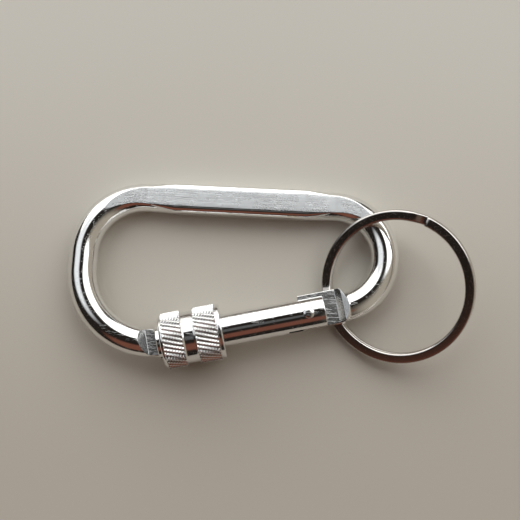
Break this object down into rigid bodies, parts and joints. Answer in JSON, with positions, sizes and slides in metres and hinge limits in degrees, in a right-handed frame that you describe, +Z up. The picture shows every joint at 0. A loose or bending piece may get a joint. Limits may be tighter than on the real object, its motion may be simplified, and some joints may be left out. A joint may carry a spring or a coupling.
{
  "type": "carabiner keyring",
  "caption": "Bent-rod keyring clip with a flattened spine, an inward-opening sprung gate, a knurled locking sleeve and a split ring threaded on its bend.",
  "frame": {"origin": "on the table, under the centre of the clip and its ring as they lie", "axes": "+X along the spine toward the split ring, +Y from the gate toward the spine, +Z up from the table; the clip leans 6.4 degrees about X, gate side up, as it rests on its spine and sleeve"},
  "size_m": [0.0852, 0.0397, 0.0137],
  "materials": {
    "frame_aluminium": "polished",
    "gate_aluminium": "polished",
    "sleeve_aluminium": "satin",
    "pin_steel": "polished",
    "spring_steel": "satin",
    "follower_brass": "satin",
    "ring_nickel": "polished"
  },
  "bodies": {
    "frame": {"frame": "frame_aluminium"},
    "gate": {"gate_tube": "gate_aluminium", "hinge_pin": "pin_steel", "gate_spring": "spring_steel"},
    "follower": {"spring_follower": "follower_brass"},
    "sleeve": {"locking_sleeve": "sleeve_aluminium"},
    "ring": {"key_ring": "ring_nickel"}
  },
  "joints": [
    {"name": "gate_swing", "type": "hinge", "parent": "frame", "child": "gate", "pos_m": [0.00875, -0.00676, 0.00538], "axis": [0, -0.1121, -0.9937], "range_deg": [0, 34], "stiffness_Nm_per_rad": 0.02, "springref_deg": -40.11},
    {"name": "follower_slide", "type": "slide", "parent": "gate", "child": "follower", "axis": [-0.9711, -0.237, 0.0267], "range_m": [0, 0.00125], "deforming": ["gate_spring"]},
    {"name": "sleeve_travel", "type": "slide", "parent": "gate", "child": "sleeve", "axis": [-0.9711, -0.237, 0.0267], "range_m": [0, 0.0028]},
    {"name": "ring_swing", "type": "hinge", "parent": "frame", "child": "ring", "pos_m": [0.01409, -0.0059, 0.00134], "axis": [0.2581, 0.9222, 0.288], "range_deg": [-18, 14]}
  ],
  "couplings": [
    {"joint": "follower_slide", "follows": "gate_swing", "m_per_rad": 0.0021}
  ]
}
